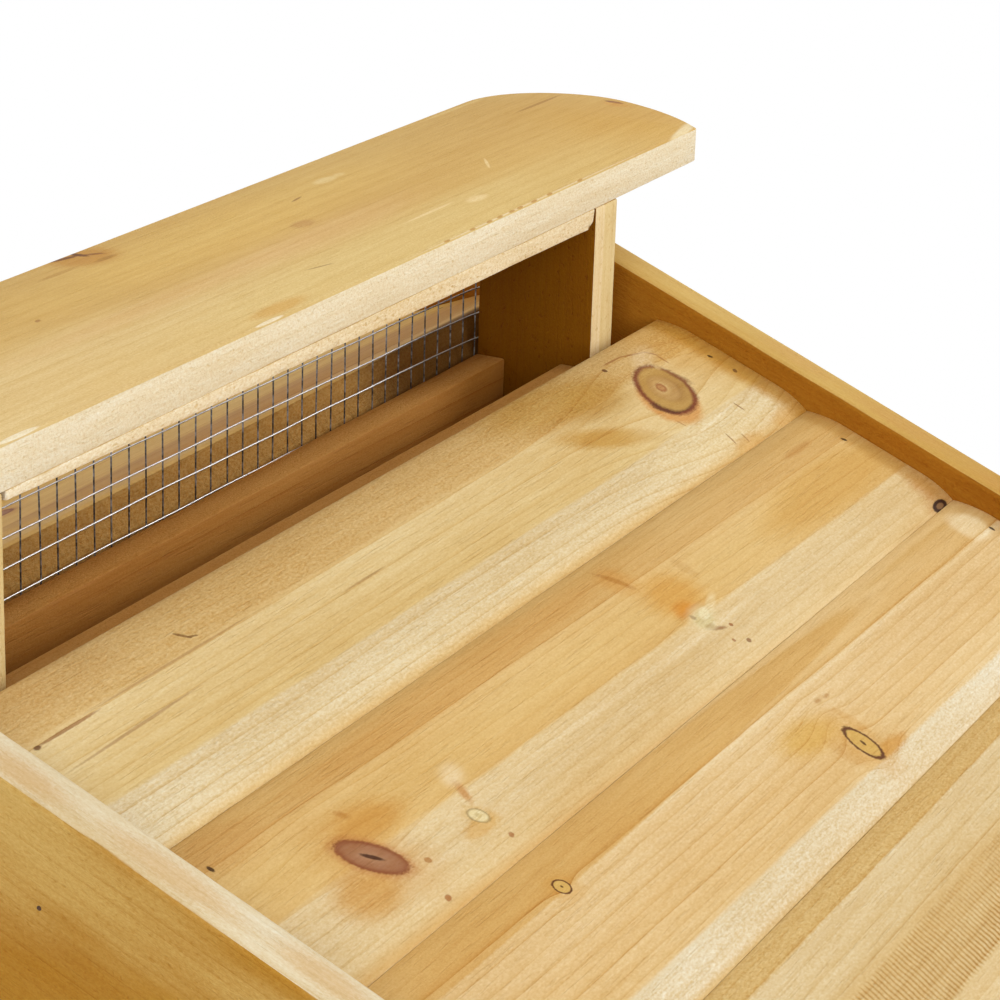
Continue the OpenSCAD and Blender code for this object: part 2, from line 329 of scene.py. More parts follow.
# %% Pine
def pine(name, laid, face, sides, toward=(), bands=(), years=(), tilt=0.0, lines=1.0, side_lines=0.3,
         ring=2.4, pith=(-12, 62), wander=1.0, knots=(), ovals=(), chatter=(), seed=0, mottle=1.0,
         pits=0.0, sawn_from=0.25, torn=()):
    finish = Finish(name)
    l, w, t = grain_frame(finish, laid)
    flat = finish.join(l, w, 0)
    shift = seed * 37.0

    def stretched(along, across, detail=2, rough=0.5):
        return finish.cloud(finish.join(l * along + shift, w * across, t * across), detail, rough)

    slow, fine = stretched(0.004, 0.01, 1), stretched(0.012, 0.12, 3, 0.6)
    thread, hair = stretched(0.16, 1.7), stretched(0.45, 4.5, 1)
    fuzz, dashes = stretched(1.5, 2.6, 3, 0.65), stretched(0.10, 2.6, 1)
    cloudy, streak = stretched(0.010, 0.045, 2), stretched(0.028, 0.42, 3, 0.6)
    flecks = stretched(0.9, 1.7, 3, 0.6)
    ragged = fine - 0.5 + (fuzz - 0.5) * 0.6 + (flecks - 0.5) * 0.5
    normal = finish.add("TexCoord", {}, out="Normal")

    def faces(direction):
        return finish.vector("DOT_PRODUCT", normal, direction)

    def painted(colour, spots):
        for spot in spots:
            spot = oval(*spot)
            inside = inside_oval(finish, spot, flat, ragged)
            colour = finish.mix(inside * spot["strength"], colour, spot["colour"])
        return colour

    level = faces(laid["through"]).sum("ABSOLUTE")
    sawn = (1 - level + (fuzz - 0.5) * 0.3).step(sawn_from, sawn_from + 0.35)
    straight = w - l * tilt + (fine - 0.5) * 0.8 + (streak - 0.5) * 0.9
    if bands:
        low, span = bands[0][0], bands[-1][0] - bands[0][0]
        stops = [((place - low) / span, tone(*colour)) for place, colour in bands]
        face = finish.add("ValToRGB", dict(stops=stops), (straight - low) / span)
    colour = painted(finish.mix(sawn, face, sides), ovals)
    for direction, *tints in toward:
        tint = tints[0]
        if len(tints) == 2:
            sunk = stretched(0.016, 0.05) + t.sum("ABSOLUTE") * 0.012
            tint = finish.mix(sunk.step(0.42, 0.74), *tints)
        colour = finish.mix(faces(direction).step(0.45, 0.8), colour, tint)
    flowing = w - l * tilt + (slow - 0.5) * wander * 2 + (fine - 0.5) * 1.1 + (streak - 0.5) * 0.5
    wood = 1.0
    for k in knots:
        flowing = part_round(k, l, flowing)
        colour = painted(colour, k["pile"])
        wood = (1 - inside_oval(finish, k, flat, 0.0)) * wood
    if years:
        year, dark = listed_years(finish, years, flowing)
    else:
        year, dark = cone_years(finish, flowing - pith[0], t - pith[1], l, ring, shift)
    part = year.sum("FRACT")
    broken = streak.step(0.3, 0.6) * 0.5 + 0.5
    skin = (part ** 3 * 0.3 + part ** 12 * 0.7) * dark * broken * wood * (1 - sawn * (1 - side_lines))
    pore = dashes.step(0.60, 0.72)
    pit = stretched(0.5, 0.9, 2, 0.6).step(0.60, 0.68) * (pits + sawn * 0.5)
    rough = sawn * 0.5 + 0.25
    for low, high, strength in torn:
        rough = w.step(low, low + 1.5) * w.step(high, high - 1.5) * strength + rough
    depth = (1.0 - skin * lines * 0.42 - pore * 0.04 - pit * 0.16 + (cloudy - 0.5) * 0.26 * mottle
             + (streak - 0.5) * 0.22 + (thread - 0.5) * 0.08 + (hair - 0.5) * 0.06
             + (fuzz - 0.5) * 0.26 + (flecks - 0.5) * rough * 0.40)
    teeth = 0.0
    for low, high, strength, step in chatter:
        comb = ((l * (2 * math.pi / step) + w * 1.1 + (fine - 0.5) * 9).sum("SINE") * 0.5 + 0.5) ** 2
        within = w.step(low, low + 1.5) * w.step(high, high - 1.5)
        teeth = comb * within * cloudy.step(0.2, 0.6) * strength + teeth
    if chatter:
        depth = depth - teeth * 0.16
    depth = depth.sum("MAXIMUM", 0.2)
    deeper = finish.join(depth ** 0.85, depth ** 1.6, depth ** 3.1)
    colour = finish.mix(1.0, colour, deeper, way="MULTIPLY")
    height = (skin * -0.3 + thread * 0.4 + fuzz * (sawn * 0.6 + 0.3) + flecks * rough * 0.8
              + fine * 0.2 - pore * 0.3 - pit * 0.6 - teeth * 0.5)
    relief = finish.add("Bump", {}, Strength=0.5, Distance=0.0005, Height=height)
    return finish.set(Base_Color=colour, Roughness=0.56 + (fuzz - 0.5) * 0.2 + sawn * 0.15,
                      Normal=relief, Specular_IOR_Level=0.08)

honey, raw_edge, amber_side = tone(216, 182, 122), tone(220, 190, 134), tone(200, 154, 80)
print("the pine recipe is ready; a plain face is", [round(c, 2) for c in honey])

# %% [markdown]
# ## Easing a timber
# The solids have knife-sharp arrises, and real sawn wood never has. A copy of each solid is merged,
# freed of needless edges and cut across every few millimetres, so that it can be slightly uneven. Then
# a small bevel rounds each arris, and a gentle noise in the vertices wears it. The copy stands for the
# solid, which stays behind for the physics.

# %% Tools for the hand
def mode(name):
    bpy.ops.object.mode_set(mode=name)

def nothing_selected():
    if bpy.context.object and bpy.context.object.mode != "OBJECT":
        mode("OBJECT")
    bpy.ops.object.select_all(action="DESELECT")

def take_up(piece):
    nothing_selected()
    piece.select_set(True)
    bpy.context.view_layer.objects.active = piece

def apply_modifier(piece, kind, **settings):
    take_up(piece)
    modifier = piece.modifiers.new(kind.lower(), kind)
    for key, value in settings.items():
        setattr(modifier, key, value)
    bpy.ops.object.modifier_apply(modifier=modifier.name)

def soften(piece, width, segments=2, sharper_than=60):
    """Bevels the arrises that turn by more than an angle in degrees."""
    apply_modifier(piece, "BEVEL", width=width, segments=segments, limit_method="ANGLE",
                   angle_limit=math.radians(sharper_than))

def named(name):
    """The object made last, now with a name."""
    piece = bpy.context.object
    piece.name = name
    return piece

def cylinder(name, vertices, radius, depth):
    nothing_selected()
    bpy.ops.mesh.primitive_cylinder_add(vertices=vertices, radius=radius, depth=depth)
    return named(name)

def copy_of(node):
    piece = bpy.data.objects.new(node + "_eased", nodes[node].data.copy())
    bpy.context.scene.collection.objects.link(piece)
    piece.data.materials.clear()
    take_up(piece)
    mode("EDIT")
    bpy.ops.mesh.select_all(action="SELECT")
    bpy.ops.mesh.remove_doubles(threshold=1e-6)
    bpy.ops.mesh.dissolve_limited(angle_limit=math.radians(1))
    bpy.ops.mesh.customdata_custom_splitnormals_clear()
    mode("OBJECT")
    return piece

def cut_across(piece, along, every):
    """Cuts a piece in slices, square to a direction, without opening it."""
    along = Vector(along).normalized()
    reach = [v.co.dot(along) for v in piece.data.vertices]
    low, high = min(reach), max(reach)
    count = max(2, round((high - low) / every))
    take_up(piece)
    mode("EDIT")
    for i in range(1, count):
        bpy.ops.mesh.select_all(action="SELECT")
        bpy.ops.mesh.bisect(plane_co=along * (low + (high - low) * i / count), plane_no=along)
    mode("OBJECT")

# %% Wear
def wear(piece, amount, grain, seed):
    """Moves each vertex a little along its normal: long slow waves and short nicks, arrises most."""
    normals = [v.normal.copy() for v in piece.data.vertices]
    faces = {}
    for face in piece.data.polygons:
        for i in face.vertices:
            faces.setdefault(i, []).append(face.normal)
    grain = Vector(grain).normalized()
    for v in piece.data.vertices:
        spread = min(a.dot(b) for a in faces[v.index] for b in faces[v.index])
        edge = min(1.0, max(0.0, (0.9 - spread) * 2))
        lengthwise = grain * v.co.dot(grain)
        stretched = (v.co - lengthwise) * 60 + lengthwise * 14 + Vector((seed, seed, 0))
        nick = noise.noise(v.co * 260 + Vector((0, seed, seed)))
        v.co += normals[v.index] * amount * (noise.noise(stretched) - 2.2 * edge * max(0.0, nick - 0.1))

made = []

def ease(node, material, along, every=0.008, bevel=0.0007, worn=0.00012):
    piece = copy_of(node)
    cut_across(piece, along, every)
    soften(piece, bevel, sharper_than=28)
    wear(piece, worn, along, len(made) * 3.1)
    piece.data.materials.append(material)
    take_up(piece)
    bpy.ops.object.shade_smooth_by_angle(angle=math.radians(38))
    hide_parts(node)
    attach(piece, "lid" if node.startswith("lid") else "table")
    made.append(piece.name)
    return piece

# %% [markdown]
# ## Top board of the near slope
# The eye rests here. The board has a rough tan strip at the ridge, a straw-coloured middle and a cream
# band, and one large knot whose bark ring is thick below and thin above. Two ovals that don't share
# a middle give such a ring. Faint arches of resin bow over it.

# %% Top board
near = lay((0, -slope_top.y, slope_top.z), (1, 0, 0), near_down)
bleached, nail_black, umber = (240, 224, 188), (52, 26, 8), (146, 94, 44)

def nail_spot(along, across, turn=0, edge=0.4):
    return (along, across, 0.55, 0.85, nail_black, 0.9, edge, turn)

big_knot = [
    (108.5, 22.4, 10.6, 8.6, (208, 142, 66), 0.75, 0.25, -32),
    (111.8, 19.5, 11.1, 8.4, (118, 56, 30), 0.95, 0.16, -32),
    (103.4, 23.6, 2, 3.6, (86, 44, 24), 0.85, 0.5, -42), (108, 26.3, 4, 1.1, (86, 44, 24), 0.7, 0.5, 6),
    (112.15, 19.15, 9.55, 6.85, (186, 146, 78), 1, 0.16, -32),
    (114.6, 20.6, 5.2, 3.4, (160, 116, 60), 0.6, 0.9, -32),
    (120.3, 12.9, 1.5, 1, (208, 172, 112), 0.65, 0.6, -32),
    (121.6, 18.4, 1.3, 3.3, (134, 84, 46), 0.6, 0.8, -18),
    (112.3, 18.8, 5.8, 4.5, (164, 122, 68), 0.5, 0.3, -32),
    (112.2, 18.7, 5.1, 4, (190, 150, 90), 0.8, 0.3, -32),
    (111.9, 18.4, 3, 2.3, (204, 170, 112), 0.75, 0.5, -30),
    (111.7, 18.3, 1.9, 1.5, (160, 100, 54), 0.85, 0.4, -30),
    (111.7, 18.3, 1, 0.9, (190, 142, 88), 0.8, 0.4)]
near_1 = pine(
    "pine_near_1", near, honey, raw_edge, seed=1, tilt=-0.003, wander=0.7, lines=1.05,
    chatter=[(1.5, 13.5, 0.10, 1.7)], torn=[(-1, 14, 1), (31, 45, 0.7)],
    # The bands turn amber at the board's upper edge and towards the joint and are cream lower down: partly
    # the wood's tone, partly painted shade and painted light of the curved face.
    bands=[(0, (206, 170, 109)), (12.6, (206, 169, 107)), (14.2, (222, 195, 140)), (31.2, (219, 189, 128)),
        (31.9, (222, 199, 154)), (41.2, (222, 200, 156)), (43.2, (217, 186, 130)), (44.4, (204, 166, 102))],
    years=[(2.6, .1), (5, .1), (7.4, .15), (10, .1), (14.2, .5), (17.4, .2), (20.9, .5), (24.1, .2),
        (27.2, .4), (30, .3), (34.3, .5), (36.4, .15), (38.9, .55), (41.6, .5)],
    knots=[knot(111.8, 19.5, 11.2, 8.5, -32, push=0.85, reach=2.7, pile=big_knot)],
    ovals=[(72, 6.5, 26, 8, (184, 140, 66), 0.8, 0.9, 6),
        (74.2, 22.2, 14, 3.5, (194, 146, 60), 0.8, 0.85, 22),
        (86, 27, 8, 2.4, (200, 158, 84), 0.5, 0.8, 30), (136, 12, 12, 13, (206, 158, 80), 0.6, 1.2),
        (88, 12, 13, 6, (184, 140, 62), 0.65, 1), (-120, 5, 22, 6, (192, 150, 88), 0.35),
        (110, 26, 26, 8, (226, 198, 144), 0.5), (104, 36, 30, 5.5, (232, 210, 162), 0.5),
        # The amber band at the right end, next to the rail (146.5 along), is painted shade of the rail's
        # soft shadow.
        (146.5, 20, 8.5, 34, (194, 142, 56), 0.85), (114, 43, 7, 2, (208, 162, 92)),
        (136.7, 42.5, 7, 2.2, (206, 160, 90)), (-129, 14.7, 10, 0.42, umber, 0.75, 0.5),
        (-96, 14, 26, 0.3, umber, 0.4), (-118, 21.8, 21, 0.34, umber, 0.5, 0.6, -1.2),
        (-34, 20.4, 8, 0.28, umber, 0.45, 0.8), (111, 4.8, 4.6, 0.32, rust, 0.6, 0.5, 2),
        (119, 6.1, 4.6, 0.32, rust, 0.6, 0.5, 15), (124.9, 8.7, 2.2, 0.35, rust, 0.6, 0.5, 50),
        (125.5, 11.8, 0.35, 2, rust, 0.6, 0.5), (120, 9, 7, 2.6, bleached, 0.3, 1, -20),
        (113, 33.4, 16, 0.4, bleached, 0.6, 0.6, -4), (-85.9, 10.2, 1.9, 0.4, (126, 90, 48), 0.8, 0.3, 50),
        (-84.2, 11.4, 1.5, 0.28, (126, 90, 48), 0.7, 0.3, 18),
        (104, 6.2, 0.8, 0.7, (104, 62, 30), 0.9, 0.3),
        (141.5, 25.1, 0.9, 0.6, (110, 68, 36), 0.8, 0.4, -30), (125.3, 34, 0.32, 1.7, umber, 0.75, 0.4, 4),
        (109, 39.7, 0.3, 1.8, umber, 0.7, 0.4, 6), (101, 29.4, 0.3, 1.4, umber, 0.6, 0.4, -8),
        (114.3, 41.5, 0.3, 1.4, umber, 0.5, 0.4), (-138.6, 14.9, 1, 0.5, (110, 72, 40), 0.9, 0.5),
        nail_spot(141, 18, -35)])
print("top board:", len(near_1.node_tree.nodes), "nodes")

# %% [markdown]
# ## Second board
# This one is more golden. A dark year line runs the whole length, slightly aslant, and below the
# next boundary the wood turns pale. It has a brown knot, two pale greenish ones and a split knot at
# the right edge, with resin stains between them.

# %% Second board
dead_knot = [
    (27.5, 71.8, 5.6, 3.4, (224, 204, 156), 0.75, 0.7, -10),
    (27, 72.2, 3.6, 2.3, (212, 194, 142), 0.8, 0.6, -16),
    (29.4, 71, 2.6, 1.2, (236, 222, 180), 0.75, 0.6, -24),
    (25.4, 70.2, 0.7, 0.8, (150, 118, 76), 0.6, 0.8), (26.4, 74, 1.8, 0.7, (178, 146, 92), 0.6, 0.8, 10)]
near_2 = pine(
    "pine_near_2", near, honey, raw_edge, seed=2, tilt=0.015, wander=0.8,
    torn=[(69, 86, 0.4)],
    # The bands turn amber at the board's upper edge and towards the joint: partly the wood's tone, partly
    # painted shade and painted light of the curved face.
    bands=[(44.4, (206, 167, 103)), (49, (211, 171, 106)), (54.4, (207, 165, 100)), (55.4, (217, 180, 117)),
        (62, (217, 181, 116)), (69.8, (216, 178, 112)), (70.8, (221, 194, 144)), (78, (216, 188, 138)),
        (85.5, (214, 184, 130)), (87.4, (206, 166, 102))],
    years=[(46.8, .25), (48.6, .15), (50.6, .5), (53, .2), (55, .7), (57.4, .35), (60.2, .2), (63.3, .3),
        (66.4, .25), (70.3, .35), (73.2, .2), (76.6, .3), (80.2, .25), (83.6, .3), (86.2, .2)],
    knots=[knot(-109.8, 69, 7.1, 4.2, 53, "brown"), knot(-80.6, 75.2, 2.4, 2, 40, "pale"),
        knot(27, 72, 5, 2.6, -10, pile=dead_knot), knot(139.8, 85.6, 3.9, 1.5, 0, "split", 0.4)],
    ovals=[(112, 64, 34, 7, (208, 162, 86), 0.7), (-40, 50, 60, 4, (202, 150, 78), 0.5),
        (-119, 74, 8, 5.5, (198, 142, 60), 0.75, 0.9), (-101.5, 63, 10, 4.2, (200, 144, 62), 0.75, 0.9, 6),
        (-104.5, 59, 1.6, 0.9, (180, 122, 50), 0.6, 1, 60),
        (-77, 69.8, 3, 1.1, (188, 124, 50), 0.7, 1, -62), (-83, 77.2, 5.5, 1.8, resin),
        (-74.5, 65.6, 3.4, 2.2, bleached, 0.45, 1.2, -22), (29, 63.6, 9, 6.5, (206, 148, 58), 0.7, 1),
        (26.5, 67.8, 4, 2.2, (204, 130, 36), 0.75, 1),
        (20.8, 52.6, 0.9, 3.8, (156, 96, 38), 0.75, 0.9, -20), (21, 53, 4.5, 4.4, (200, 142, 60), 0.5, 1),
        (42, 59.7, 1.6, 3, (192, 142, 76), 0.4, 0.9), (34, 70.2, 5, 1, (232, 212, 164), 0.6, 0.7, -18),
        (26.8, 75.2, 3.2, 0.7, (136, 82, 28), 0.8, 0.7, 24), (31.7, 76.7, 0.6, 0.6, rust, 0.8, 0.4),
        (27, 79.8, 0.5, 0.5, rust, 0.7, 0.4), (31, 81.8, 0.8, 0.6, (130, 84, 44), 0.8, 0.4),
        (-79, 82, 0.8, 0.6, rust, 0.7, 0.4), (-101, 76, 0.8, 0.7, rust, 0.7, 0.4),
        (-105.8, 83.6, 0.9, 0.7, rust, 0.8, 0.4), (141.7, 79.4, 4.5, 4.5, (188, 130, 66), 0.55, 1),
        # The amber band at the right end (145 along) is painted shade of the rail's soft shadow.
        (122, 52.3, 8, 1.2, (192, 140, 74), 0.5), (145, 66, 5.5, 30, (198, 150, 76)),
        (0, 73.8, 46, 1.1, bleached, 0.3, 0.6, 1.2), (-132, 50, 12, 5, (200, 152, 86), 0.45),
        nail_spot(-138.6, 52.8), nail_spot(140.4, 57.3, -35)])
print("second board:", len(near_2.node_tree.nodes), "nodes")

# %% [markdown]
# ## Third and lowest board
# The third board starts with a darker tongue that tapers away to the right and ends in a crisp pale
# crease. It has one clear knot with a thin black ring, the kind that falls out when it dries.
# The lowest board still shows the comb of the planer across its face.

# %% Third board
near_3 = pine(
    "pine_near_3", near, honey, raw_edge, seed=3, tilt=0.0107, wander=0.8,
    torn=[(96, 120, 0.3), (120, 129, 1)],
    # The bands turn amber towards the joint below: partly the wood's tone, partly painted shade of the
    # curved face.
    bands=[(85, (222, 188, 130)), (96.6, (218, 182, 122)), (97.2, (227, 200, 152)), (98.6, (221, 189, 136)),
        (105, (221, 189, 136)), (110, (219, 184, 127)), (120.3, (220, 187, 131)), (121.1, (224, 206, 170)),
        (127.4, (222, 202, 164)), (129.6, (206, 168, 100))],
    years=[(89.5, .1), (92.4, .15), (96.8, .75), (100.2, .45), (104, .35), (107.2, .55), (110.5, .35),
        (114.2, .65), (117.2, .3), (119.5, .4), (123, .15), (126, .15)],
    knots=[knot(-84.5, 96, 2, 1.9, 0, "amber"), knot(19.4, 115.2, 3.2, 5.3, 12, "amber", 0.85, 1.7)],
    ovals=[(-101, 91.6, 172, 5.4, (208, 164, 94), 0.85, 0.1),
        (110, 90.2, 28, 1.2, (210, 168, 98), 0.5, 0.8, 0.6),
        (9.4, 106.4, 11, 4.4, (208, 160, 66), 0.7, 1, 4), (25, 119.8, 7, 1.7, (200, 142, 58), 0.75, 0.8),
        (12.5, 114, 3, 5, (200, 150, 80), 0.4), (24.8, 110, 1.5, 5, (206, 158, 90), 0.4),
        (136, 94.5, 6, 5.5, bleached, 0.65, 0.5), (24, 102, 1.4, 0.6, (176, 122, 56), 0.6, 1),
        (27.7, 102.4, 1.4, 0.5, (176, 122, 56), 0.6, 1), nail_spot(-139, 97), nail_spot(141, 99)])
near_4 = pine(
    "pine_near_4", near, honey, raw_edge, seed=4, wander=0.8,
    torn=[(127, 136, 1.1), (136, 170, 0.4)], chatter=[(147.5, 163, 2.4, 1.5)],
    ovals=[nail_spot(-139, 147), nail_spot(141, 146)],
    # The amber band at the board's upper edge is partly the wood's tone, partly painted shade of the curved
    # face.
    bands=[(127, (205, 168, 104)), (134.3, (209, 173, 109)), (134.9, (216, 190, 142)),
        (146.3, (215, 189, 140)), (147, (212, 182, 128)), (170.4, (215, 188, 138))],
    years=[(131, .3), (134.6, .5), (138, .2), (142, .3), (146.6, .6), (150, .2), (154, .3), (158, .3),
        (162, .4), (166, .3)],
    knots=[knot(92, 152, 5.5, 4.2, 20, "brown"), knot(-70, 158, 3.6, 3, 0, "amber")])

for number, material in enumerate((near_1, near_2, near_3, near_4), 1):
    ease(f"near_board_{number}", material, (1, 0, 0), 0.004, bevel=0.00025, worn=0.00006)
print("near slope:", made)

# %% [markdown]
# ## Far slope
# Nobody looks closely at the far slope, so its boards draw their years from cones and their knots
# from a short list. Through the mesh only the sawn upper edge of the top board shows: it is fuzzy
# and brown, as if the saw had burnt it a little. Its right part is darker with a painted shadow of the
# end panel, and a painted highlight runs along its top arris.

# %% Far slope
far = lay((0, slope_top.y, slope_top.z), (1, 0, 0), far_down)
for number in range(1, 5):
    middle = (joints[number - 1] + joints[number]) / 2
    kind = ("brown", "amber", "pale", "amber")[number - 1]
    spots = [nail_spot(x, middle - 6, edge=0.3) for x in (-139.4, 139.4)]
    if number == 1:
        # The pale line along the top arris is a painted highlight, and the dark oval on the right of the
        # sawn edge is a painted shadow of the end panel.
        spots += [(70, 9, 130, 6.5, (196, 146, 76), 0.85, 0.3),
                  (0, 2.6, 200, 1.1, (226, 194, 136), 0.6, 0.4),
                  (112, -1.6, 46, 3, (98, 62, 20), 0.85, 0.4)]
    material = pine(
        f"pine_far_{number}", far, tone(224, 184, 104), tone(172, 130, 68), ring=2.5,
        pith=(middle - 30, -70), seed=4 + number, wander=2.0, pits=0.2,
        knots=[knot(-90 + 55 * number, middle + 7, 5, 4, 20 * number, kind)], torn=[(-3, 1, 1.6)],
        ovals=spots)
    ease(f"far_board_{number}", material, (1, 0, 0), 0.006, bevel=0.0003, worn=0.00008)
print("far slope done,", len(made), "timbers so far")

# %% [markdown]
# ## Lid
# The lid is one amber board with a faint straight grain that pales towards the front. Its sawn front
# edge was never stained: it is cream, rough and pitted, and the arris above it is white in some places,
# worn and with a painted highlight, and pitted in others. One knot sits at the back edge, cut in half
# by the saw, and a small one shows at the curved end. Two thin strips under the lid keep it in place.
# They were cut a little aslant at the right end, where the lower corner broke off.

# %% Lid
over = lay((0, -panel_face * mm, lid_under + lid_thick * mm), (1, 0, 0), (0, 1, 0))
raw, wear_and_highlight_white = tone(233, 218, 186), (242, 228, 196)
pits = [(x, 0.9, 1.5, 0.5, (186, 134, 58), 0.8, 0.4, 8)
        for x in (46, 58, 66, 71, 77, 81, 88, 96, 112)]
lid_pine = pine(
    "pine_lid", over, tone(210, 171, 99), raw, seed=20, tilt=-0.01, wander=1.4, lines=0.42, side_lines=0.0,
    sawn_from=0.12, mottle=0.6,
    torn=[(0.2, 2.6, 1.2), (2, 30, 0.2)], toward=[((0, -1, 0), raw)],
    years=[(3, .3), (7.5, .4), (12, .3), (15.6, .5), (19.8, .7), (24, .3), (28.4, .35), (32, .6),
        (36.5, .4), (41, .35), (45.4, .5), (50, .45), (54.6, .3), (58.8, .5)],
    ovals=[(-90, 13, 122, 18, (223, 194, 136), 0.9, 1), (48, 8, 96, 12.5, (218, 188, 122), 0.8, 0.9),
        (40, 27, 36, 6, (220, 182, 124), 0.5, 1), (30, 47, 70, 11, (224, 186, 106), 0.6, 1),
        (-20, 27, 60, 3, (220, 180, 122), 0.4, 1), (-9, 58.5, 8.5, 5.5, (194, 140, 62), 0.8, 0.7, -10),
        (-12.5, 61.6, 4.2, 0.7, (106, 62, 30), 0.85, 0.5, -14),
        (-8, 61, 0.9, 2.6, (92, 52, 26), 0.85, 0.4, 10),
        (-5.6, 58.5, 2.6, 0.7, (132, 82, 38), 0.7, 0.5, -35), (-7, 54.6, 3.4, 0.8, (168, 124, 54)),
        (-22, 55.8, 7, 0.7, (184, 136, 66), 0.5), (-53, 39.5, 1, 0.5, umber, 0.6, 0.6, 20),
        (12.5, 13.5, 4, 0.3, umber, 0.5, 0.4, -14), (-18.8, 4.7, 10, 2.2, (206, 154, 72)),
        (58.9, 46.8, 2.6, 0.35, umber, 0.7, 0.6, 8), (78, 50.5, 4.6, 1.7, (232, 204, 142), 0.7, 0.5),
        (84.5, 50.5, 2.2, 1, (232, 204, 142), 0.5), (41, 34.5, 4, 2, (186, 136, 80), 0.5),
        (114.6, 27, 4.6, 0.4, (240, 216, 160), 0.6, 0.5, 35), (180, 46, 11, 0.55, (160, 112, 50), 0.7),
        (176, 22, 20, 22, (206, 160, 78), 0.55, 1.2), (193, 30.5, 1, 2.6, (112, 60, 52), 0.8, 0.5, -8),
        (191, 28.5, 2.2, 3.6, (206, 146, 62), 0.5, 0.9, -10), (66, 16, 10, 0.5, (240, 216, 164), 0.55),
        (83, 13, 4, 1.6, (238, 214, 160)), (165, 60.8, 18, 0.6, (226, 196, 128), 0.5),
        # The white marks on the front arris, and the long faint line along it, are wear and painted
        # highlight.
        (-113, 1.5, 6, 0.9, wear_and_highlight_white, 0.9, 0.3), (-28, 1.2, 5, 0.7, wear_and_highlight_white, 0.9, 0.3),
        (90, 0.9, 60, 0.35, wear_and_highlight_white, 0.4, 0.4), (172, 1.5, 14, 1.6, (238, 218, 172), 0.8, 0.6, 12)]
       + pits)
ease("lid", lid_pine, (1, 0, 0), every=0.004, bevel=0.0004, worn=0.00008)

# %% Strips under the lid
cut_end, sound_depth, slant_cut, broken = 0.117, 3.0 * mm, 0.2, 1.6
for strip, y in (("lid_strip_front", -1), ("lid_strip_back", 1)):
    material = pine("pine_" + strip, over, raw_edge, tone(234, 214, 176), seed=23 + y, pits=0.3, lines=0.2,
                    side_lines=0.0, torn=[(-9, 40, 0.5)])
    piece = ease(strip, material, (1, 0, 0), every=0.003, bevel=0.0002, worn=0.0003)
    cut_across(piece, (0, 0, 1), 0.0015)
    for v in piece.data.vertices:
        if v.co.x > cut_end:
            hang = lid_under - v.co.z
            v.co.x -= hang * slant_cut + max(0, hang - sound_depth) * broken
print("lid done")

# %% [markdown]
# ## Rails, rafters and the nut box
# A gable rail covers the ends of the boards. It was dipped in stain before it was planed, so its broad
# faces are deep amber and its narrow top is pale; its inner face is a deeper brown, stain with painted
# shade. The end panels of the nut box went the same way: their inner faces are almost the brown of tea,
# partly stain and partly painted shade of the box under the lid, while the narrow front edges are raw
# wood, one part of them smoother than the other.

# %% Rails and rafters
for side, down in (("near", near_down), ("far", far_down)):
    for end, x in (("left", -1), ("right", 1)):
        origin = (x * rail_out * mm, slope_top.y * (-1 if side == "near" else 1), slope_top.z)
        blotches = [(28 + 31 * n + 7 * x, 4 + n % 3, 9 + 4 * (n % 2), 3, (204, 158, 90), 0.5, 1.0)
                    for n in range(5)]
        material = pine(
            f"pine_rail_{side}_{end}", lay(origin, down, (-x, 0, 0)),
            tone(224, 207, 172) if x < 0 else tone(204, 165, 90), amber_side, ring=1.9, pith=(5, 40),
            seed=30 + len(made), side_lines=0.8, wander=2.0, lines=0.6, mottle=2.6,
            ovals=blotches,
            # The inner face (toward -x) gets a deep brown that is stain with painted shade; the outer face
            # gets the stained amber.
            toward=[((-x, 0, 0), tone(164, 106, 26), tone(150, 94, 18)),
                ((x, 0, 0), tone(214, 176, 102), tone(188, 136, 50))])
        ease(f"rail_{side}_{end}", material, down, every=0.005)
        ease(f"rafter_{side}_{end}", material, down, every=0.02)
print("rails done,", len(made), "timbers so far")

# %% Nut box
# The end panels' inner faces get a dark brown that is partly stain and partly painted shade of the box
# under the lid.
stain_and_shade_brown = tone(122, 74, 2)
for end, x in (("left", -1), ("right", 1)):
    origin = (x * panel_in * mm, -panel_face * mm, lid_under)
    smooth = (0, 2.4 * x, 200, 2.4, (230, 206, 160), 0.8, 0.3)
    front = lay(origin, (0, 0, -1), (1, 0, 0))
    material = pine(
        f"pine_panel_{end}", front, tone(220, 193, 136), amber_side, ring=2.0, pith=(-20 * x, 30),
        seed=50 + x, pits=0.7, side_lines=0.8, lines=0.5,
        toward=[((-x, 0, 0), stain_and_shade_brown), ((x, 0, 0), tone(196, 148, 74))], ovals=[smooth] if x > 0 else [])
    ease(f"feeder_end_{end}", material, (0, 0, 1), every=0.004)
# The floor and boards inside the box get a dark brown that is painted shade of the closed box.
for n, node in enumerate(("feeder_floor", "feeder_front_board", "feeder_back_board")):
    material = pine("pine_" + node, lay((0, 0, lid_under - 0.08), (1, 0, 0), (0, 0, 1)), tone(176, 120, 52),
                    tone(190, 138, 70), seed=55 + n, wander=2.0)
    ease(node, material, (1, 0, 0), every=0.01)
print("roof and feeder:", len(made), "timbers eased")

# %% [markdown]
# ## Tray and stand
# The tray, the post and the feet are plain timbers that differ only in where they lie and how they
# grew. Each gets a grain frame along its own length and two knots of its own, drawn with a fixed seed
# so that they come out the same every time.

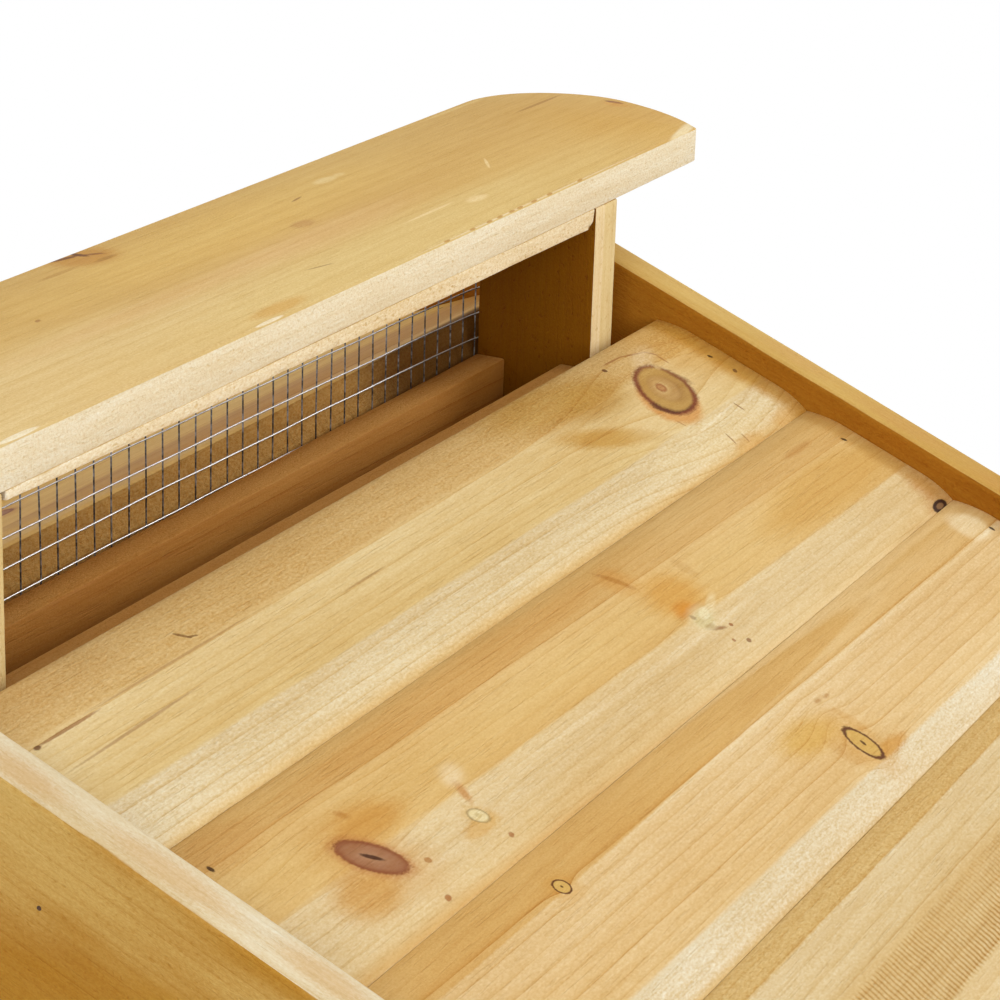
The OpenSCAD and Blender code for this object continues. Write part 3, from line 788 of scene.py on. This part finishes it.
# %% Tray and stand
def plain_timber(node, along, across, number):
    low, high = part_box(node)
    draw = random.Random(number)
    length = (high - low).dot(Vector([abs(c) for c in along])) * 1000
    knots = [knot(draw.uniform(-0.4, 0.4) * length, draw.uniform(-9, 9), draw.uniform(2, 5), 3,
                  draw.uniform(-30, 30), draw.choice(["brown", "amber", "pale"])) for _ in range(2)]
    material = pine(
        "pine_" + node, lay((low + high) / 2, along, across), honey, raw_edge, ring=draw.uniform(2, 3),
        pith=(draw.uniform(-30, 30), draw.uniform(30, 70)), seed=number, side_lines=0.8, wander=2.0,
        knots=knots)
    ease(node, material, along, every=0.012)

x_axis, y_axis, z_axis = (1, 0, 0), (0, 1, 0), (0, 0, 1)
for n in range(1, 5):
    plain_timber(f"tray_board_{n}", x_axis, y_axis, 60 + n)
for n, (name, along, across) in enumerate((("near", x_axis, z_axis), ("far", x_axis, z_axis),
                                           ("left", y_axis, z_axis), ("right", y_axis, z_axis))):
    plain_timber("tray_rim_" + name, along, across, 70 + n)
for n, name in enumerate(("near_left", "near_right", "far_left", "far_right")):
    plain_timber("corner_post_" + name, z_axis, x_axis, 75 + n)
for n, name in enumerate(("left", "right")):
    plain_timber("tray_bearer_" + name, y_axis, x_axis, 80 + n)
plain_timber("post", z_axis, x_axis, 85)
plain_timber("foot_along", x_axis, y_axis, 86)
plain_timber("foot_across", y_axis, x_axis, 87)
for n, (name, x, y) in enumerate((("left", -1, 0), ("right", 1, 0), ("near", 0, -1), ("far", 0, 1))):
    plain_timber("brace_" + name, (-x, -y, 1), (y, x, 0), 90 + n)
print("timbers in all:", len(made))

# %% [markdown]
# ## Welded mesh
# Nut mesh is drawn steel wire laid in two layers, welded where it crosses and dipped in zinc. One wire
# is modelled and copied. A copy wanders slightly, as a cut sheet of mesh does, and the sheet as a whole
# rises a little towards the left and bows up and back in the middle.

# %% Zinc
def zinc(name, dark=112, light=196, top_highlight=0.0):
    finish = Finish(name)
    place = finish.add("TexCoord", {}, out="Object")
    big = finish.add("VectorMath", dict(operation="SCALE"), place, Scale=700.0)
    grains = finish.cloud(big, detail=3, rough=0.6)
    normal = finish.add("TexCoord", {}, out="Normal")
    above = finish.vector("DOT_PRODUCT", normal, (0, 0, 1))
    # Faces that look up are painted brighter, a painted highlight; the grains stand for the zinc's own
    # spangle.
    spangle_and_top_highlight = above.step(0.1, 0.7) * top_highlight + grains.step(0.35, 0.75) * (1 - top_highlight * 0.6)
    dull = finish.mix(spangle_and_top_highlight, tone(dark, dark - 3, dark - 6), tone(light, light, light))
    relief = finish.add("Bump", {}, Strength=0.4, Distance=0.0001, Height=grains)
    return finish.set(Base_Color=dull, Metallic=1.0, Roughness=0.32 + grains * 0.3, Normal=relief)

mesh_pitch, wire, columns, rows = 6.35 * mm, 0.38 * mm, 40, 7
mesh_low, mesh_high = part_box("feeder_mesh")
print("mesh sheet:", [round(c * 1000, 1) for c in mesh_high - mesh_low], "mm")

# %% One wire and its copies
def straight_wire(name, length, pieces):
    """A wire along Z with both ends nipped, cut into short lengths so that it can wander."""
    rod = cylinder(name, 8, wire / 2, length)
    cut_across(rod, (0, 0, 1), length / pieces)
    soften(rod, wire * 0.12, segments=1)
    return rod

def place_copy(model, place, turn, bend=0.0, seed=0):
    """A copy with its own mesh, turned and moved in its vertices, with a slow wander in its run."""
    copied = bpy.data.objects.new(f"{model.name}_{seed}", model.data.copy())
    bpy.context.scene.collection.objects.link(copied)
    for v in copied.data.vertices:
        v.co.x += noise.noise(Vector((v.co.z * 38, seed * 5.3, 0))) * bend
    copied.data.transform(Matrix.Translation(place) @ turn)
    return copied

def join_all(pieces, name, material):
    nothing_selected()
    for piece in pieces:
        piece.select_set(True)
    bpy.context.view_layer.objects.active = pieces[0]
    bpy.ops.object.join()
    joined = named(name)
    joined.data.materials.clear()
    joined.data.materials.append(material)
    bpy.ops.object.shade_smooth_by_angle(angle=math.radians(50))
    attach(joined, "table")
    return joined

# %% The sheet of wires
sheet = []
tail = mm
upright = straight_wire("upright_wire", rows * mesh_pitch + 2 * tail, 14)
level = straight_wire("level_wire", columns * mesh_pitch + 2 * tail, 80)
middle = (mesh_low.z + mesh_high.z) / 2
level_y = mesh_low.y + wire / 2
upright_y = level_y + wire * 0.86
sideways = -1.0 * mm
standing, lying = Matrix.Identity(4), Matrix.Rotation(math.radians(90), 4, "Y")
wire_x = [(i - columns / 2) * mesh_pitch + sideways for i in range(columns + 1)]
wire_z = [middle + (j - rows / 2) * mesh_pitch for j in range(rows + 1)]
for i, x in enumerate(wire_x):
    sheet.append(place_copy(upright, Vector((x, upright_y, middle)), standing, bend=0.0004, seed=i))
for j, z in enumerate(wire_z):
    sheet.append(place_copy(level, Vector((sideways, level_y, z)), lying, bend=0.0003, seed=100 + j))
bpy.data.objects.remove(upright)
bpy.data.objects.remove(level)

# %% Welds
nothing_selected()
bpy.ops.mesh.primitive_ico_sphere_add(subdivisions=1, radius=wire * 0.62)
weld = named("weld")
apply_modifier(weld, "SUBSURF", levels=1, render_levels=1)
draw = random.Random(5)
for i, x in enumerate(wire_x):
    for j, z in enumerate(wire_z):
        spot = Vector((x, (level_y + upright_y) / 2, z))
        size = Matrix.Diagonal((draw.uniform(0.8, 1.2), 0.9, draw.uniform(0.7, 1.1), 1))
        sheet.append(place_copy(weld, spot, size, seed=1000 + i * 10 + j))
bpy.data.objects.remove(weld)
# The level wires get the painted highlight on their tops, so they show bright and the uprights dark.
netting = join_all(sheet, "welded_mesh", zinc("zinc_wire", 72, 232, 1.0))

belly, bow, tip_up, pivot = 0.35 * mm, 1.0 * mm, -0.0104, 43 * mm
for v in netting.data.vertices:
    across = v.co.x / (panel_in * mm)
    hollow = math.sqrt(max(0.0, 1 - across * across))
    v.co.y += belly * hollow
    v.co.z += (v.co.x - pivot) * tip_up + bow * hollow
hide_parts("feeder_mesh")
print("welded mesh:", len(netting.data.polygons), "faces")

# %% [markdown]
# ## Pins, staples and screws
# The boards are pinned to the rafters near each end, staples hold the mesh to the backs of the end
# panels, and countersunk screws with a cross in the head hold the tray and the stand. One of each is
# modelled at the origin, pointing up, and copied to every place. A pin's head sits a hair below the
# wood, and that small dark ring is what makes it look driven in.

# %% One pin, one staple and one screw
def pin_model():
    pin = cylinder("pin", 12, 0.5 * mm, 2 * mm)
    soften(pin, 0.15 * mm)
    return pin

def staple_model():
    nothing_selected()
    bpy.ops.mesh.primitive_cube_add(size=1, scale=(0.9 * mm, 9 * mm, 0.6 * mm))
    bpy.ops.object.transform_apply(scale=True)
    staple = named("staple")
    cut_across(staple, (0, 1, 0), 0.0015)
    mode("EDIT")
    bpy.ops.mesh.select_all(action="DESELECT")
    mode("OBJECT")
    for face in staple.data.polygons:
        face.select = face.normal.z < -0.9 and abs(face.center.y) > 3.6 * mm
    mode("EDIT")
    bpy.ops.mesh.select_mode(type="FACE")
    bpy.ops.mesh.extrude_region_move(TRANSFORM_OT_translate=dict(value=(0, 0, -1.2 * mm)))
    mode("OBJECT")
    soften(staple, 0.15 * mm)
    return staple

def screw_model():
    screw = cylinder("screw", 24, 3.4 * mm, 1.2 * mm)
    for turn in (0, 90):
        nothing_selected()
        bpy.ops.mesh.primitive_cube_add(size=1, scale=(3.6 * mm, 0.8 * mm, 0.9 * mm),
                                        rotation=(0, 0, math.radians(turn)), location=(0, 0, 0.6 * mm))
        bit = bpy.context.object
        apply_modifier(screw, "BOOLEAN", operation="DIFFERENCE", object=bit, solver="EXACT")
        bpy.data.objects.remove(bit)
    soften(screw, 0.12 * mm, segments=1)
    return screw

def stand_on(place, out):
    """A place, and the turn that brings a model's Z to an outward direction."""
    return Vector(place), Vector(out).to_track_quat("Z", "Y").to_matrix().to_4x4()

print("fasteners are modelled once each")

# %% Rusty steel
rust_coat = Finish("rusty_steel")
crumbs = rust_coat.add("VectorMath", dict(operation="SCALE"), rust_coat.add("TexCoord", {}, out="Object"),
                       Scale=2500.0)
crust = rust_coat.add("ValToRGB", dict(stops=[(0.3, tone(44, 28, 18)), (0.7, tone(92, 54, 28))]),
                      rust_coat.cloud(crumbs, detail=2))
rusty = rust_coat.set(Base_Color=crust, Roughness=0.75)

# %% Pins and staples in place
pin, staple, screw = pin_model(), staple_model(), screw_model()
pin_lift, pin_sunk, under_edge = 1.35 * mm, 0.9 * mm, 12 * mm
staple_x, staple_y = 125.5 * mm, mesh_low.y + 1.15 * mm

def on_slope(x, down_by, side):
    down = near_down if side < 0 else far_down
    out = Vector((0, side * math.sin(pitch), math.cos(pitch)))
    return Vector((x * mm, side * slope_top.y, slope_top.z)) + down * down_by * mm + out * pin_lift, out

pins = []
near_spots = [(-138.6, 14.9), (141, 18), (-138.6, 52.8), (140.4, 57.3), (-139, 97), (141, 99),
              (-139, 147), (141, 146)]
far_spots = [(x, (joints[n] + joints[n + 1]) / 2 - 6) for n in range(4) for x in (-139.4, 139.4)]
for side, spots in ((-1, near_spots), (1, far_spots)):
    for x, down_by in spots:
        place, out = on_slope(x, down_by, side)
        pins.append(place_copy(pin, *stand_on(place, out), seed=2000 + len(pins)))
for x in (-1, 1):
    for side in (-1, 1):
        for down_by in (30, 88, 146):
            place, _ = on_slope(x * rail_out, down_by, side)
            place += Vector((-x * pin_sunk, 0, -under_edge))
            pins.append(place_copy(pin, *stand_on(place, (x, 0, 0)), seed=2000 + len(pins)))
staples = [place_copy(staple, *stand_on((x * staple_x, staple_y, lid_under - drop * mm), (0, 1, 0)),
                      seed=3000 + n)
           for n, (x, drop) in enumerate((x, drop) for x in (-1, 1) for drop in (14, 30, 45))]
join_all(pins, "roof_pins", rusty)
join_all(staples, "mesh_staples", zinc("bright_steel", 120, 205))
print(len(pins), "pins and", len(staples), "staples")

# %% Screws in place
tray_top, sunk = 0.900, 0.2 * mm
spots = [((x * mm, y * mm, tray_top - sunk), z_axis) for x in (-35, 35) for y in (-82, -28, 28, 82)]
spots += [((x * 128 * mm, side * (120 * mm - sunk), tray_top + z * mm), (0, side, 0))
          for x in (-1, 1) for side in (-1, 1) for z in (-2, 16)]
spots += [((side * (142 * mm - sunk), y * 100 * mm, tray_top + 8 * mm), (side, 0, 0))
          for y in (-1, 1) for side in (-1, 1)]
slant = math.sqrt(0.5)
for x, y in ((1, 0), (-1, 0), (0, 1), (0, -1)):
    top, foot = Vector((x * 22.5, y * 22.5, 190)) * mm, Vector((x * 172.5, y * 172.5, 40)) * mm
    out = Vector((x * slant, y * slant, slant))
    spots += [(top.lerp(foot, share) - out * sunk, out) for share in (0.18, 0.82)]
screws = [place_copy(screw, *stand_on(place, out), seed=4000 + n) for n, (place, out) in enumerate(spots)]
join_all(screws, "tray_and_stand_screws", zinc("zinc_screw", 140, 206))
for model in (pin, staple, screw):
    bpy.data.objects.remove(model)
print(len(screws), "screws")

# %% [markdown]
# ## Floor and surroundings
# The floor takes a real shadow and stays white in the picture. A disc of plain pale paint round the
# feet catches the shadow, and further out it glows at full white, as the room does. Only rays that
# show the floor or the room see this glow. The light that falls on the wood doesn't change with it.

# %% Floor and sky
nothing_selected()
bpy.ops.mesh.primitive_circle_add(vertices=96, radius=30, fill_type="NGON")
floor = named("floor")
paint = Finish("floor_white")
paint.set(Base_Color=(0.8, 0.8, 0.8), Roughness=0.9)

def shows_room(net):
    """1 for a ray that shows the room: from the camera, off a gloss or through glass."""
    rays = net.add("LightPath", {})
    return rays.sum("MAXIMUM", rays.out("Is Glossy Ray")).sum("MAXIMUM", rays.out("Is Transmission Ray"))

distance = paint.vector("LENGTH", paint.add("TexCoord", {}, out="Object"))
half_glow, glow = (paint.add("Emission", {}, (1, 1, 1), strength) for strength in (0.42, 1.0))
lit = paint.add("AddShader", {}, paint.look, half_glow)
near_feet = paint.add("MixShader", {}, distance.step(0.7, 1.6), lit, glow)
paint.plug(paint.end, paint.add("MixShader", {}, shows_room(paint), paint.look, near_feet))
floor.data.materials.append(paint.material)

world = bpy.data.worlds.new("room")
bpy.context.scene.world = world
sky = Net(world, "OutputWorld")
soft, white = sky.add("Background", {}, (1.0, 0.98, 0.95), 0.255), sky.add("Background", {}, (1, 1, 1), 1.0)
sky.plug(sky.end, sky.add("MixShader", {}, shows_room(sky), soft, white))
bpy.context.scene.view_settings.view_transform = "Standard"
print("floor and room are white to the camera")
